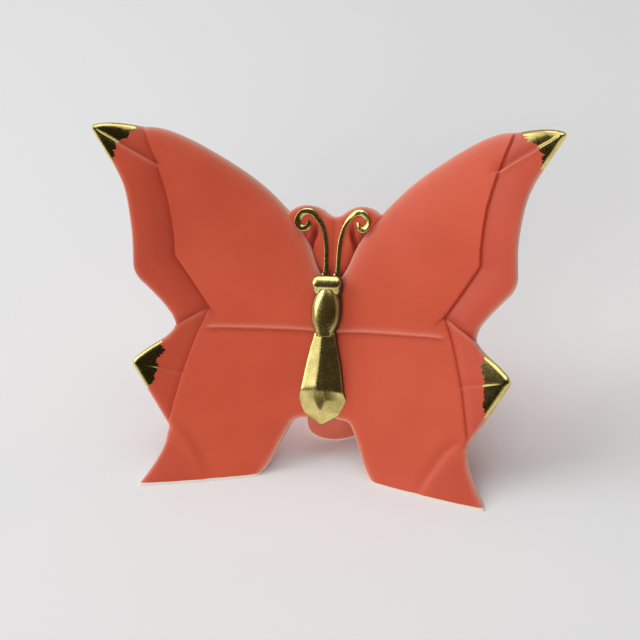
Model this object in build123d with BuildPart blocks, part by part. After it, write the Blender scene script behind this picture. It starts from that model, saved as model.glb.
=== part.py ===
from build123d import *
import os
from math import cos, radians, sin

os.makedirs("parts", exist_ok=True)

# Overall lengths, in millimetres, and the backward lean in degrees
half_span = 72.0
wing_rise = 93.0
wing_cup = 27.6
wing_thickness = 4.6
lean_angle = 31.0
apex_back = 3.88

# Rounded rims, corners and the raised fold lines
rim_round = 0.7
fore_tip_round = 2.0
fore_corner_round = 6.0
hind_tip_round = 2.0
ridge_half_width = 1.5
ridge_height = 0.7

# Central column and its round foot
foot_radius = 9.7
foot_centre = 6.4

# Crest plate behind the antennae
crest_front = 7.4
crest_thickness = 4.8

# Gilded reliefs
abdomen_half_width = 7.2
abdomen_height = 4.6
thorax_half_width = 4.7
thorax_height = 4.0
thorax_lift = 2.2
head_width = 9.4
head_height = 7.6
head_round = 1.6
relief_seat = 2.4
antenna_width = 1.3
antenna_height = 1.1

# Touching distance used to tell a seam from a free rim
seam_touch = 0.05

# Body frame: local x to the right, local y up the leaning back, local z to the viewer
up_axis = Vector(0, sin(radians(lean_angle)), cos(radians(lean_angle)))
front_axis = Vector(0, -cos(radians(lean_angle)), sin(radians(lean_angle)))
body_plane = Plane(origin=(0, -apex_back, 0), x_dir=(1, 0, 0), z_dir=front_axis)

# Folded wing sheet from top to foot, one row per level: share of the rise, crease as share
# of the half span, front face at root and at crease as shares of the cup, outer slope
fold_shares = [
    (1.110, 0.830, -0.045, 0.900, 0.32),
    (0.885, 0.720, 0.020, 0.805, 0.42),
    (0.660, 0.672, 0.200, 0.680, 0.60),
    (0.433, 0.510, 0.335, 0.510, 0.44),
    (0.210, 0.602, 0.385, 0.630, 0.33),
    (-0.020, 0.590, 0.470, 0.743, 0.20),
    (-0.250, 0.440, 0.560, 0.840, 0.225),
]
sheet_reach_share = 1.15
clear_reach_share = 1.70
facing_share = 0.05

# Outline places, each as a share of the half span and a share of the rise
root_seam_share = (0.0, 0.366)
crease_foot_share = (0.545, 0.362)
fold_peak_share = (0.510, 0.433)
side_notch_share = (0.650, 0.373)
fore_corner_share = (0.806, 0.527)
fore_edge_shares = [(0.808, 0.585), (0.832, 0.715), (0.893, 0.855)]
fore_tip_share = (1.037, 1.020)
top_dip_share = (0.800, 1.006)
top_edge_shares = [(0.575, 0.971), (0.383, 0.877)]
crest_corner_share = (0.203, 0.752)
crest_side_shares = [(0.139, 0.690), (0.103, 0.633), (0.064, 0.564)]
crest_root_share = (0.0, 0.510)
lobe_shares = [(0.060, 0.766), (0.114, 0.779), (0.160, 0.772)]
lobe_notch_share = (0.0, 0.743)
hind_tip_share = (0.812, 0.232)
low_notch_share = (0.650, 0.035)
tail_edge_shares = [(0.650, -0.015), (0.695, -0.085)]
tail_tip_share = (0.768, -0.185)
tail_inner_share = (0.340, -0.165)
tail_bend_shares = [(0.243, -0.102), (0.197, -0.052), (0.163, 0.013)]
crotch_share = (0.118, 0.085)
tail_root_share = (0.0, 0.098)
fore_ridge_shares = [(0.735, 0.900), (0.955, 0.990)]
hind_ridge_shares = [(0.615, 0.222), (0.775, 0.234)]

# Column height and backward lean as shares of the rise, its wall as a share of the foot radius
column_height_share = 0.613
column_back_share = 0.183
column_wall_share = 0.35

# Column levels: share of the height, of the backward lean and of the foot radius
column_shares = [(0.0, 0.0, 1.0), (0.2, 0.03, 0.98), (0.6, 0.48, 0.92), (0.88, 0.87, 0.74), (1.0, 1.06, 0.42)]

# Relief levels: share of the rise, share of the half width, share of the height
waist_share = 0.366
neck_share = 0.492
head_top_share = 0.553
abdomen_shares = [(0.066, 0.20, 0.20), (0.115, 0.66, 0.62), (0.172, 1.0, 1.0), (waist_share, 0.43, 1.10)]
thorax_shares = [(waist_share, 0.66, 0.72), (0.400, 0.86, 0.86), (0.440, 1.0, 1.0), (neck_share, 0.60, 0.72)]
facet_shares = [(1.0, 0.40), (0.50, 0.90), (0.0, 1.0)]
antenna_shares = [
    (0.026, 0.553), (0.025, 0.635), (0.031, 0.690), (0.048, 0.735), (0.075, 0.760),
    (0.106, 0.767), (0.138, 0.758), (0.152, 0.738), (0.142, 0.718), (0.120, 0.713),
    (0.106, 0.726), (0.112, 0.740),
]

clear_reach = clear_reach_share * half_span
column_height = column_height_share * wing_rise
column_back = column_back_share * wing_rise
column_wall = column_wall_share * foot_radius


def wing_point(share):
    """Return a place on the body plane from its shares of half span and rise."""
    return (share[0] * half_span, share[1] * wing_rise)


def level_plane(rise_share):
    """Return the plane across the body at a share of the rise, its y to the viewer."""
    level = body_plane.from_local_coords((0, rise_share * wing_rise, 0))
    return Plane(origin=level, x_dir=(1, 0, 0), z_dir=-up_axis)


def sheet_row(fold_row):
    """Return crease place, then front face at root, crease and reach, from a row of shares."""
    crease = fold_row[1] * half_span
    bend = fold_row[3] * wing_cup
    reach = sheet_reach_share * half_span
    return (crease, fold_row[2] * wing_cup, bend, bend + fold_row[4] * (reach - crease))


def folded_levels(back, front):
    """Return the cross sections of the folded right-hand sheet between two offsets from its front."""
    levels = []
    reach = sheet_reach_share * half_span
    for fold_row in fold_shares:
        crease, root, bend, edge = sheet_row(fold_row)
        with BuildSketch(level_plane(fold_row[0])) as level:
            with BuildLine():
                Polyline(
                    (0, root + back), (crease, bend + back), (reach, edge + back),
                    (reach, edge + front), (crease, bend + front), (0, root + front), close=True,
                )
            make_face()
        levels.append(level.sketch.face())
    return levels


# Whole right-hand sheet, used to find places on its front face
with BuildPart() as wing_sheet:
    loft(sections=folded_levels(-wing_thickness, 0))


def sheet_place(share):
    """Return the place on the sheet's front face from shares of half span and rise."""
    across, level = wing_point(share)
    start = body_plane.from_local_coords((max(across, seam_touch), level, 0))
    hits = wing_sheet.part.find_intersection_points(Axis(start, front_axis))
    return max((point for point, normal in hits), key=front_axis.dot)


def root_front(rise_share):
    """Return how far forward the sheet's front face stands at the root at a share of the rise."""
    return body_plane.to_local_coords(sheet_place((0, rise_share))).Z


def fore_outline():
    """Return the outline edges of the right forewing on the body plane."""
    with BuildLine() as outline:
        Polyline(
            wing_point(crest_root_share), wing_point(root_seam_share), wing_point(crease_foot_share),
            wing_point(fold_peak_share), wing_point(side_notch_share), wing_point(fore_corner_share),
        )
        Spline(*[wing_point(p) for p in [fore_corner_share, *fore_edge_shares, fore_tip_share]])
        Line(wing_point(fore_tip_share), wing_point(top_dip_share))
        Spline(*[wing_point(p) for p in [top_dip_share, *top_edge_shares, crest_corner_share]])
        Spline(*[wing_point(p) for p in [crest_corner_share, *crest_side_shares, crest_root_share]])
    return outline.edges()


def hind_outline():
    """Return the outline edges of the right hindwing, its foot running below the floor."""
    with BuildLine() as outline:
        Polyline(
            wing_point(tail_root_share), wing_point(root_seam_share), wing_point(crease_foot_share),
            wing_point(fold_peak_share), wing_point(side_notch_share), wing_point(hind_tip_share),
            wing_point(low_notch_share),
        )
        Spline(*[wing_point(p) for p in [low_notch_share, *tail_edge_shares, tail_tip_share]])
        Line(wing_point(tail_tip_share), wing_point(tail_inner_share))
        Spline(*[wing_point(p) for p in [tail_inner_share, *tail_bend_shares, crotch_share]])
        Line(wing_point(crotch_share), wing_point(tail_root_share))
    return outline.edges()


def crest_outline():
    """Return the outline edges of the right half of the crest."""
    with BuildLine() as outline:
        Spline(*[wing_point(p) for p in [crest_corner_share, *crest_side_shares, crest_root_share]])
        Line(wing_point(crest_root_share), wing_point(lobe_notch_share))
        Spline(*[wing_point(p) for p in [lobe_notch_share, *lobe_shares, crest_corner_share]])
    return outline.edges()


def free_rim(wing, neighbours):
    """Return a wing's front rim edges that no neighbour touches."""
    walls = [face for face in wing.faces() if abs(face.normal_at().dot(front_axis)) < facing_share]
    wall_edges = [edge for face in walls for edge in face.edges()]
    fronts = [face for face in wing.faces() if face.normal_at().dot(front_axis) > facing_share]
    rim = [edge for face in fronts for edge in face.edges() if edge in wall_edges]
    others = [neighbour.part for neighbour in neighbours]
    return [
        edge for edge in rim
        if min(Vertex(edge @ 0.5).distance_to(other) for other in others) > seam_touch
    ]


def ridge_plane(start, end):
    """Return the plane across a fold line at its start, its y to the viewer."""
    along = (end - start).normalized()
    return Plane(origin=start, x_dir=front_axis.cross(along), z_dir=along)


def ridge_outline():
    """Return the peaked cross section of a raised fold line."""
    with BuildLine() as outline:
        Polyline(
            (-ridge_half_width, -ridge_height), (ridge_half_width, -ridge_height), (0, ridge_height), close=True,
        )
    return outline.edges()


def column_levels(inset):
    """Return the round cross sections of the column, drawn in by an inset."""
    levels = []
    for height_share, back_share, radius_share in column_shares:
        middle = foot_centre + back_share * column_back
        with BuildSketch(Plane(origin=(0, middle, height_share * column_height))) as level:
            Circle(radius_share * foot_radius - inset)
        levels.append(level.sketch.face())
    return levels


def abdomen_levels():
    """Return the faceted cross sections of the abdomen from tail end to waist."""
    levels = []
    for rise_share, width_share, height_share in abdomen_shares:
        base = root_front(rise_share)
        right = [
            (x * width_share * abdomen_half_width, base + y * height_share * abdomen_height)
            for x, y in facet_shares
        ]
        left = [(-x, y) for x, y in reversed(right[:-1])]
        seat = base - relief_seat
        with BuildSketch(level_plane(rise_share)) as level:
            with BuildLine():
                Polyline((left[-1][0], seat), (right[0][0], seat), *right, *left, close=True)
            make_face()
        levels.append(level.sketch.face())
    return levels


def thorax_levels():
    """Return the oval cross sections of the thorax from waist to neck."""
    levels = []
    for rise_share, width_share, height_share in thorax_shares:
        with BuildSketch(level_plane(rise_share)) as level:
            with Locations((0, root_front(rise_share) + thorax_lift)):
                Ellipse(width_share * thorax_half_width, height_share * thorax_height)
        levels.append(level.sketch.face())
    return levels


# Plain wing sheets with square rims, used to find the seams
with BuildPart() as fore_sheet:
    loft(sections=folded_levels(-wing_thickness, 0))
    with BuildSketch(body_plane) as fore_shape:
        make_face(fore_outline())
        fillet(fore_shape.vertices().sort_by_distance(wing_point(fore_tip_share))[0], fore_tip_round)
        fillet(fore_shape.vertices().sort_by_distance(wing_point(fore_corner_share))[0], fore_corner_round)
    extrude(amount=clear_reach, both=True, mode=Mode.INTERSECT)

with BuildPart() as hind_sheet:
    loft(sections=folded_levels(-wing_thickness, 0))
    with BuildSketch(body_plane) as hind_shape:
        make_face(hind_outline())
        fillet(hind_shape.vertices().sort_by_distance(wing_point(hind_tip_share))[0], hind_tip_round)
    extrude(amount=clear_reach, both=True, mode=Mode.INTERSECT)
    split(bisect_by=Plane.XY, keep=Keep.TOP)

with BuildPart() as left_sheets:
    mirror(fore_sheet.part, about=Plane.YZ)
    mirror(hind_sheet.part, about=Plane.YZ)

# Crest plate with two lobes, filling the gap between the forewings
with BuildPart() as crest:
    with BuildSketch(body_plane.offset(crest_front)):
        make_face(crest_outline())
        mirror(about=Plane.YZ)
    extrude(amount=-crest_thickness)
crest.part.label = "crest"
export_step(crest.part, "parts/crest.step")

# Right wings: rounded free rims and a raised fold line running to each tip
with BuildPart() as right_forewing:
    add(fore_sheet.part)
    fillet(free_rim(right_forewing, [hind_sheet, left_sheets, crest]), rim_round)
    fore_ridge = [sheet_place(share) for share in fore_ridge_shares]
    with BuildSketch(ridge_plane(*fore_ridge)):
        make_face(ridge_outline())
    extrude(amount=(fore_ridge[1] - fore_ridge[0]).length)
right_forewing.part.label = "right_forewing"
export_step(right_forewing.part, "parts/right_forewing.step")

with BuildPart() as right_hindwing:
    add(hind_sheet.part)
    fillet(free_rim(right_hindwing, [fore_sheet, left_sheets]), rim_round)
    hind_ridge = [sheet_place(share) for share in hind_ridge_shares]
    with BuildSketch(ridge_plane(*hind_ridge)):
        make_face(ridge_outline())
    extrude(amount=(hind_ridge[1] - hind_ridge[0]).length)
right_hindwing.part.label = "right_hindwing"
export_step(right_hindwing.part, "parts/right_hindwing.step")

# Left wings, mirrored across the body
with BuildPart() as left_forewing:
    mirror(right_forewing.part, about=Plane.YZ)
left_forewing.part.label = "left_forewing"
export_step(left_forewing.part, "parts/left_forewing.step")

with BuildPart() as left_hindwing:
    mirror(right_hindwing.part, about=Plane.YZ)
left_hindwing.part.label = "left_hindwing"
export_step(left_hindwing.part, "parts/left_hindwing.step")

# Space in front of the backs of wings and crest
with BuildPart() as wing_space:
    loft(sections=folded_levels(-wing_thickness, clear_reach))
    with BuildSketch(body_plane):
        make_face(fore_outline())
        make_face(hind_outline())
    extrude(amount=clear_reach, both=True, mode=Mode.INTERSECT)
    mirror(about=Plane.YZ)
    with BuildSketch(body_plane.offset(crest_front - crest_thickness)):
        make_face(crest_outline())
        mirror(about=Plane.YZ)
    extrude(amount=clear_reach)

# Hollow column behind the wings, open at its round foot
with BuildPart() as column_hollow:
    loft(sections=column_levels(column_wall))
    add(wing_space.part.moved(Location(-front_axis * column_wall)), mode=Mode.SUBTRACT)

with BuildPart() as column:
    loft(sections=column_levels(0))
    add(column_hollow.part, mode=Mode.SUBTRACT)
    add(wing_space.part.moved(Location(-front_axis * seam_touch)), mode=Mode.SUBTRACT)
column.part.label = "column"
export_step(column.part, "parts/column.step")

# Gilded abdomen, faceted, seated on the wing roots
with BuildPart() as abdomen:
    loft(sections=abdomen_levels(), ruled=True)
    for wing in (fore_sheet, hind_sheet, left_sheets):
        add(wing.part, mode=Mode.SUBTRACT)
abdomen.part.label = "abdomen"
export_step(abdomen.part, "parts/abdomen.step")

# Gilded thorax, a rounded vase shape between waist and neck
with BuildPart() as thorax:
    loft(sections=thorax_levels())
    for wing in (fore_sheet, hind_sheet, left_sheets):
        add(wing.part, mode=Mode.SUBTRACT)
thorax.part.label = "thorax"
export_step(thorax.part, "parts/thorax.step")

# Gilded head, a rounded bar over the neck
with BuildPart() as head:
    with BuildSketch(body_plane.offset(crest_front - relief_seat)):
        with Locations(wing_point((0, (neck_share + head_top_share) / 2))):
            RectangleRounded(head_width, (head_top_share - neck_share) * wing_rise, head_round)
    extrude(amount=relief_seat + head_height)
    fillet(head.faces().sort_by(Axis((0, 0, 0), front_axis))[-1].edges(), head_round)
    for neighbour in (fore_sheet, left_sheets, crest):
        add(neighbour.part, mode=Mode.SUBTRACT)
head.part.label = "head"
export_step(head.part, "parts/head.step")

# Gilded antennae, raised bars ending in curls on the crest
with BuildPart() as right_antenna:
    with BuildSketch(body_plane.offset(crest_front)):
        with BuildLine():
            Spline(*[wing_point(p) for p in antenna_shares])
        trace(line_width=antenna_width)
    extrude(amount=antenna_height)
right_antenna.part.label = "right_antenna"
export_step(right_antenna.part, "parts/right_antenna.step")

with BuildPart() as left_antenna:
    mirror(right_antenna.part, about=Plane.YZ)
left_antenna.part.label = "left_antenna"
export_step(left_antenna.part, "parts/left_antenna.step")
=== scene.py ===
"""Folded porcelain butterfly: coral satin glaze, gold lustre on body, antennae and wing tips."""

import logging
import math
from dataclasses import dataclass, field
from enum import Enum
from typing import Sequence

import bmesh
import bpy
import numpy as np
from mathutils import Matrix, Vector
from mathutils.geometry import delaunay_2d_cdt
from mathutils.kdtree import KDTree


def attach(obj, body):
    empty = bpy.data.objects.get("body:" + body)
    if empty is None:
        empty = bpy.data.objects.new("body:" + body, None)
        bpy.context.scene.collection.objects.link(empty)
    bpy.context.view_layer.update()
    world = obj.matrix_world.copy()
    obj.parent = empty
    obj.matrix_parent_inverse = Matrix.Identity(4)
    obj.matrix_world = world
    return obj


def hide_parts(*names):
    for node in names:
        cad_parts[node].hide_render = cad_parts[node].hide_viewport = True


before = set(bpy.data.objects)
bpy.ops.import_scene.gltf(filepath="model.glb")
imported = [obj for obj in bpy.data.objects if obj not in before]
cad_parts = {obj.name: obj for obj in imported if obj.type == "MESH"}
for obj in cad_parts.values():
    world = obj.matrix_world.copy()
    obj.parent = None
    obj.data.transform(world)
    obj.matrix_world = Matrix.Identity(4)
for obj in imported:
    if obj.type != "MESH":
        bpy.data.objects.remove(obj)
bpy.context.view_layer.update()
BODY = "root"
MM = 0.001
LOG = logging.getLogger("butterfly")
# How far gold faces may turn before painted shade darkens them, and how softly it sets in
SHADE_TURN = 0.76
SHADE_SOFTNESS = 0.28
NO_GILDING = -50.0
SOFT_SHARP = 80.0
RELAX = 0.5
FAR = 1e6

Share = tuple[float, float]
Station = tuple[float, float]


class Side(Enum):
    """Which half of the butterfly a piece belongs to."""

    RIGHT = 1
    LEFT = -1

    @property
    def word(self) -> str:
        """Name of the side as the nodes spell it."""
        return self.name.lower()


class Slot(Enum):
    """Finish slots."""

    CORAL = "coral_glaze"
    GOLD = "gold_lustre"


class CubicLine:
    """Natural cubic through knots, used for outlines and for values that change up the wing."""

    def __init__(self, knots: Sequence[float], values: Sequence) -> None:
        """Solve the curvatures once.

        Args:
            knots: Rising parameter of each value.
            values: One value or one row of values for each knot.
        """
        self.knots = np.asarray(knots, float)
        self.values = np.asarray(values, float).reshape(len(self.knots), -1)
        count = len(self.knots)
        gaps = np.diff(self.knots)
        system = np.eye(count)
        target = np.zeros_like(self.values)
        for i in range(1, count - 1):
            system[i, i - 1:i + 2] = gaps[i - 1], 2 * (gaps[i - 1] + gaps[i]), gaps[i]
            rise = (self.values[i + 1] - self.values[i]) / gaps[i]
            run = (self.values[i] - self.values[i - 1]) / gaps[i - 1]
            target[i] = 6 * (rise - run)
        self.bends = np.linalg.solve(system, target)

    def at(self, where: np.ndarray) -> np.ndarray:
        """Return the values at given parameters.

        Args:
            where: Parameters, kept within the first and last knot.

        Returns:
            One row of values for each parameter.
        """
        where = np.clip(np.asarray(where, float), self.knots[0], self.knots[-1])
        i = np.clip(np.searchsorted(self.knots, where) - 1, 0, len(self.knots) - 2)
        gap = (self.knots[i + 1] - self.knots[i])[:, None]
        ahead = (self.knots[i + 1] - where)[:, None]
        behind = (where - self.knots[i])[:, None]
        curve = (self.bends[i] * ahead**3 + self.bends[i + 1] * behind**3) / (6 * gap)
        low = (self.values[i] / gap - self.bends[i] * gap / 6) * ahead
        high = (self.values[i + 1] / gap - self.bends[i + 1] * gap / 6) * behind
        return curve + low + high


def chord_lengths(points: np.ndarray) -> np.ndarray:
    """Return the running length along a row of points."""
    return np.concatenate([[0.0], np.cumsum(np.linalg.norm(np.diff(points, axis=0), axis=1))])


def smooth_through(points: np.ndarray, step: float) -> np.ndarray:
    """Return a smooth line through points, sampled evenly.

    Args:
        points: The few points that the line passes.
        step: Largest distance between samples.

    Returns:
        Sampled points, the first and last kept.
    """
    lengths = chord_lengths(points)
    count = max(2, math.ceil(lengths[-1] / step) + 1)
    where = np.linspace(0, lengths[-1], count)
    if len(points) == 2:
        return points[0] + (points[1] - points[0]) * (where / lengths[-1])[:, None]
    return CubicLine(lengths, points).at(where)


def straight_through(points: np.ndarray, step: float) -> np.ndarray:
    """Return straight runs between points, sampled evenly, with every point kept."""
    runs = [smooth_through(np.array(pair), step)[:-1] for pair in zip(points, points[1:])]
    return np.vstack([*runs, points[-1:]])


@dataclass(frozen=True)
class Nearest:
    """Where points lie beside a line: distance, side (left is positive) and length along it."""

    distance: np.ndarray
    side: np.ndarray
    along: np.ndarray


def nearest_on(points: np.ndarray, line: np.ndarray, chunk: int = 4000) -> Nearest:
    """Measure points against a line.

    Args:
        points: Places on the flat wing.
        line: Corners of the line in order.
        chunk: How many points are measured at a time.

    Returns:
        Distance, side and length along the line for each point.
    """
    start, run = line[:-1], np.diff(line, axis=0)
    length = np.maximum(np.linalg.norm(run, axis=1), 1e-9)
    before = chord_lengths(line)[:-1]
    parts = []
    for first in range(0, len(points), chunk):
        gap = points[first:first + chunk, None] - start[None]
        share = np.clip((gap * run).sum(2) / length**2, 0, 1)
        away = np.linalg.norm(gap - share[..., None] * run, axis=2)
        best = away.argmin(1)
        row = np.arange(len(best))
        cross = run[best, 0] * gap[row, best, 1] - run[best, 1] * gap[row, best, 0]
        along = before[best] + share[row, best] * length[best]
        parts.append((away[row, best], np.where(cross >= 0, 1.0, -1.0), along))
    return Nearest(*(np.concatenate(column) for column in zip(*parts)))


def inside_loop(points: np.ndarray, loop: np.ndarray) -> np.ndarray:
    """Tell which points lie inside a closed loop."""
    x, y = points[:, 0, None], points[:, 1, None]
    (x0, y0), (x1, y1) = loop.T, np.roll(loop, -1, axis=0).T
    spans = (y0 > y) != (y1 > y)
    safe = np.where(y1 == y0, 1e-12, y1 - y0)
    crossing = x < x0 + (y - y0) * (x1 - x0) / safe
    return (spans & crossing).sum(1) % 2 == 1


@dataclass(frozen=True)
class LeaningFrame:
    """Body frame in millimetres: across to the right, level up the leaning back, front to the viewer."""

    half_span: float = 72.0
    rise: float = 93.0
    lean: float = 31.0
    apex_back: float = 3.88

    def flat(self, shares: Sequence[Share]) -> np.ndarray:
        """Return flat places from shares of half span and rise."""
        return np.array(shares, float) * (self.half_span, self.rise)

    def world(self, across: np.ndarray, level: np.ndarray, front: np.ndarray) -> np.ndarray:
        """Turn body-frame millimetres into metres of the shared frame."""
        tilt_sin, tilt_cos = math.sin(math.radians(self.lean)), math.cos(math.radians(self.lean))
        depth = -self.apex_back + level * tilt_sin - front * tilt_cos
        return np.stack([across, depth, level * tilt_cos + front * tilt_sin], axis=1) * MM

    def local(self, places: np.ndarray) -> tuple[np.ndarray, np.ndarray, np.ndarray]:
        """Turn metres of the shared frame into across, level and front millimetres."""
        tilt_sin, tilt_cos = math.sin(math.radians(self.lean)), math.cos(math.radians(self.lean))
        across, depth, height = (places / MM).T
        depth = depth + self.apex_back
        return across, depth * tilt_sin + height * tilt_cos, height * tilt_sin - depth * tilt_cos


LEAN = LeaningFrame()


@dataclass(frozen=True)
class FoldRow:
    """One level of the folded sheet.

    Level is a share of the rise, root is the front face at the body in millimetres, slope is how the
    inner panel comes forward per millimetre outwards, and turn is what the outer panel adds to it.
    """

    level: float
    root: float
    slope: float
    turn: float


@dataclass(frozen=True)
class Fold:
    """A pressed line: points in shares, and a profile of (distance, offset) stations in millimetres.

    Distances to the left of the line's travel are positive. The line fades out over the given
    lengths at its start and end. On a worn line the glaze is painted paler over what stands proud,
    as thinner glaze and as a painted highlight on the ridge.
    """

    points: tuple[Share, ...]
    profile: tuple[Station, ...]
    fade_in: float = 0.0
    fade_out: float = 0.0
    curved: bool = False
    worn: bool = False

    def line(self, step: float) -> np.ndarray:
        """Return the sampled line on the flat wing."""
        corners = LEAN.flat(self.points)
        return smooth_through(corners, step) if self.curved else straight_through(corners, step)

    def offset(self, places: np.ndarray) -> np.ndarray:
        """Return how far the fold moves each place to the front."""
        line = self.line(1.0)
        near = nearest_on(places, line)
        reach, height = np.array(self.profile).T
        push = np.interp(near.distance * near.side, reach, height, left=0.0, right=0.0)
        total = chord_lengths(line)[-1]
        fade = np.ones(len(places))
        if self.fade_in:
            fade *= np.clip(near.along / self.fade_in, 0, 1)
        if self.fade_out:
            fade *= np.clip((total - near.along) / self.fade_out, 0, 1)
        return push * fade

    def rows(self, step: float) -> list[np.ndarray]:
        """Return lines of mesh points beside the fold, one for each station."""
        line = self.line(step)
        run = np.gradient(line, axis=0)
        run /= np.maximum(np.linalg.norm(run, axis=1), 1e-9)[:, None]
        left = np.stack([-run[:, 1], run[:, 0]], axis=1)
        return [line + left * reach for reach, height in self.profile]


@dataclass(frozen=True)
class RimRoll:
    """How a free rim rolls over, in millimetres: width and depth of the roll, and a sag before it."""

    width: float
    depth: float
    sag: float = 0.0
    reach: float = 7.0
    broad: bool = False

    def drop(self, distance: np.ndarray) -> np.ndarray:
        """Return how far the face sinks at a distance from the rim."""
        near = np.clip(1 - distance / self.width, 0, 1)
        broad = np.clip(1 - distance / self.reach, 0, 1)
        return self.depth * (1 - np.sqrt(1 - near**2)) + self.sag * broad**2


@dataclass(frozen=True)
class Stretch:
    """One run of an outline: points in shares, its rim roll (none on a seam) and the corner that ends it."""

    points: tuple[Share, ...]
    rim: RimRoll | None
    corner: float = 0.0


# Pressed lines that the forewings and hindwings share, from the body outwards and from the top down
CREASE_SHARES: tuple[Share, ...] = (
    (0.852, 1.120), (0.793, 1.012), (0.731, 0.892), (0.706, 0.834), (0.685, 0.776), (0.671, 0.711),
    (0.662, 0.648), (0.660, 0.597), (0.615, 0.546), (0.512, 0.432), (0.548, 0.362), (0.576, 0.290),
    (0.606, 0.205), (0.632, 0.100), (0.646, 0.036), (0.516, -0.066), (0.476, -0.121), (0.440, -0.250),
)
FORE_CREASE = Fold(
    points=CREASE_SHARES[1:10] + ((0.463, 0.400),),
    profile=(
        (-2.5, 0.0), (-1.1, 0.05), (-0.5, 0.06), (-0.2, -0.3), (0.0, -0.84), (0.15, -0.88), (0.5, -0.64),
        (1.2, -0.36), (2.6, -0.14), (5.5, 0.0),
    ),
    fade_out=5.5,
)
HIND_CREASE = Fold(
    points=CREASE_SHARES[9:15],
    profile=((-1.7, 0.0), (-0.7, 0.03), (-0.25, -0.14), (0.0, -0.5), (0.2, -0.52), (0.8, -0.22), (2.0, 0.0)),
    fade_out=3.0,
)
FLAP_EDGE = Fold(
    points=((0.512, 0.432), (0.649, 0.362)),
    profile=((-2.2, 0.0), (-1.2, 0.16), (-0.5, 0.3), (0.0, 0.0), (0.25, -0.5), (0.9, -0.35), (2.6, 0.0)),
    fade_in=2.0,
    worn=True,
)
TIP_LAP = Fold(
    points=((0.731, 0.892), (0.985, 0.998)),
    profile=(
        (-1.8, 0.0), (-0.8, 0.12), (-0.3, 0.36), (0.0, 0.22), (0.18, -0.35), (0.35, -0.55), (1.0, -0.45),
        (2.2, -0.16), (3.6, 0.0),
    ),
    fade_out=3.0,
    worn=True,
)
HIND_LAP = Fold(
    points=((0.607, 0.212), (0.800, 0.236)),
    profile=(
        (-1.6, 0.0), (-0.7, 0.05), (-0.25, 0.14), (0.0, 0.08), (0.2, -0.11), (0.45, -0.17), (1.1, -0.13),
        (2.6, 0.0),
    ),
    fade_out=8.0,
    worn=True,
)
WAIST_RIDGE = Fold(
    points=((0.030, 0.366), (0.160, 0.370), (0.300, 0.369), (0.440, 0.366), (0.535, 0.362)),
    profile=(
        (-2.0, 0.0), (-1.1, -0.16), (-0.35, -0.3), (0.0, 0.12), (0.28, 0.42), (0.6, 0.4), (1.2, 0.16),
        (2.2, 0.0),
    ),
    fade_out=3.0,
    worn=True,
)
TAIL_FOLD = Fold(
    points=((0.646, 0.036), (0.610, 0.022), (0.516, -0.066), (0.476, -0.121), (0.462, -0.160)),
    profile=(
        (-5.0, 0.0), (-3.4, -0.16), (-2.1, -0.34), (-1.0, -0.14), (-0.3, 0.22), (0.2, 0.3), (1.2, 0.3),
        (5.0, 0.2), (10.0, 0.08), (15.0, 0.0),
    ),
    fade_in=4.0,
    fade_out=9.0,
    curved=True,
)
WING_FOLDS = (FORE_CREASE, HIND_CREASE, FLAP_EDGE, TIP_LAP, HIND_LAP, WAIST_RIDGE, TAIL_FOLD)


@dataclass(frozen=True)
class FoldedSheet:
    """Front face of the folded wings as a height over the leaning back."""

    rows: tuple[FoldRow, ...] = (
        FoldRow(-0.250, 15.5, 0.250, -0.05),
        FoldRow(-0.020, 13.0, 0.178, 0.00),
        FoldRow(0.210, 10.6, 0.156, 0.17),
        FoldRow(0.433, 9.25, 0.132, 0.30),
        FoldRow(0.660, 5.5, 0.274, 0.32),
        FoldRow(0.885, 0.55, 0.418, 0.00),
        FoldRow(1.110, -1.2, 0.436, -0.20),
    )
    folds: tuple[Fold, ...] = WING_FOLDS

    def plain(self, places: np.ndarray) -> np.ndarray:
        """Return the front face without pressed lines.

        Args:
            places: Flat places, across and level in millimetres.

        Returns:
            Height of the front face over the leaning back, in millimetres.
        """
        values = [(row.root, row.slope, row.turn) for row in self.rows]
        rows = CubicLine([row.level for row in self.rows], values)
        root, slope, turn = rows.at(places[:, 1] / LEAN.rise).T
        return root + slope * places[:, 0] + turn * self.beyond(places)

    def beyond(self, places: np.ndarray) -> np.ndarray:
        """Return how far each place lies outside the crease, zero on the inner panel."""
        crease = LEAN.flat(CREASE_SHARES)
        outside = places[:, 0] > np.interp(places[:, 1], crease[::-1, 1], crease[::-1, 0])
        return np.where(outside, nearest_on(places, crease).distance, 0.0)

    def pressed(self, places: np.ndarray) -> np.ndarray:
        """Return what the pressed lines add to the front face."""
        return sum(fold.offset(places) for fold in self.folds)


SHEET = FoldedSheet()


@dataclass(frozen=True)
class Gilding:
    """Border of a gilded tip in shares; the gold lies to the right of its travel."""

    border: tuple[Share, ...]

    def depth(self, places: np.ndarray) -> np.ndarray:
        """Return how far inside the gold each place lies, in millimetres."""
        near = nearest_on(places, LEAN.flat(self.border))
        return -near.distance * near.side


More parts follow.
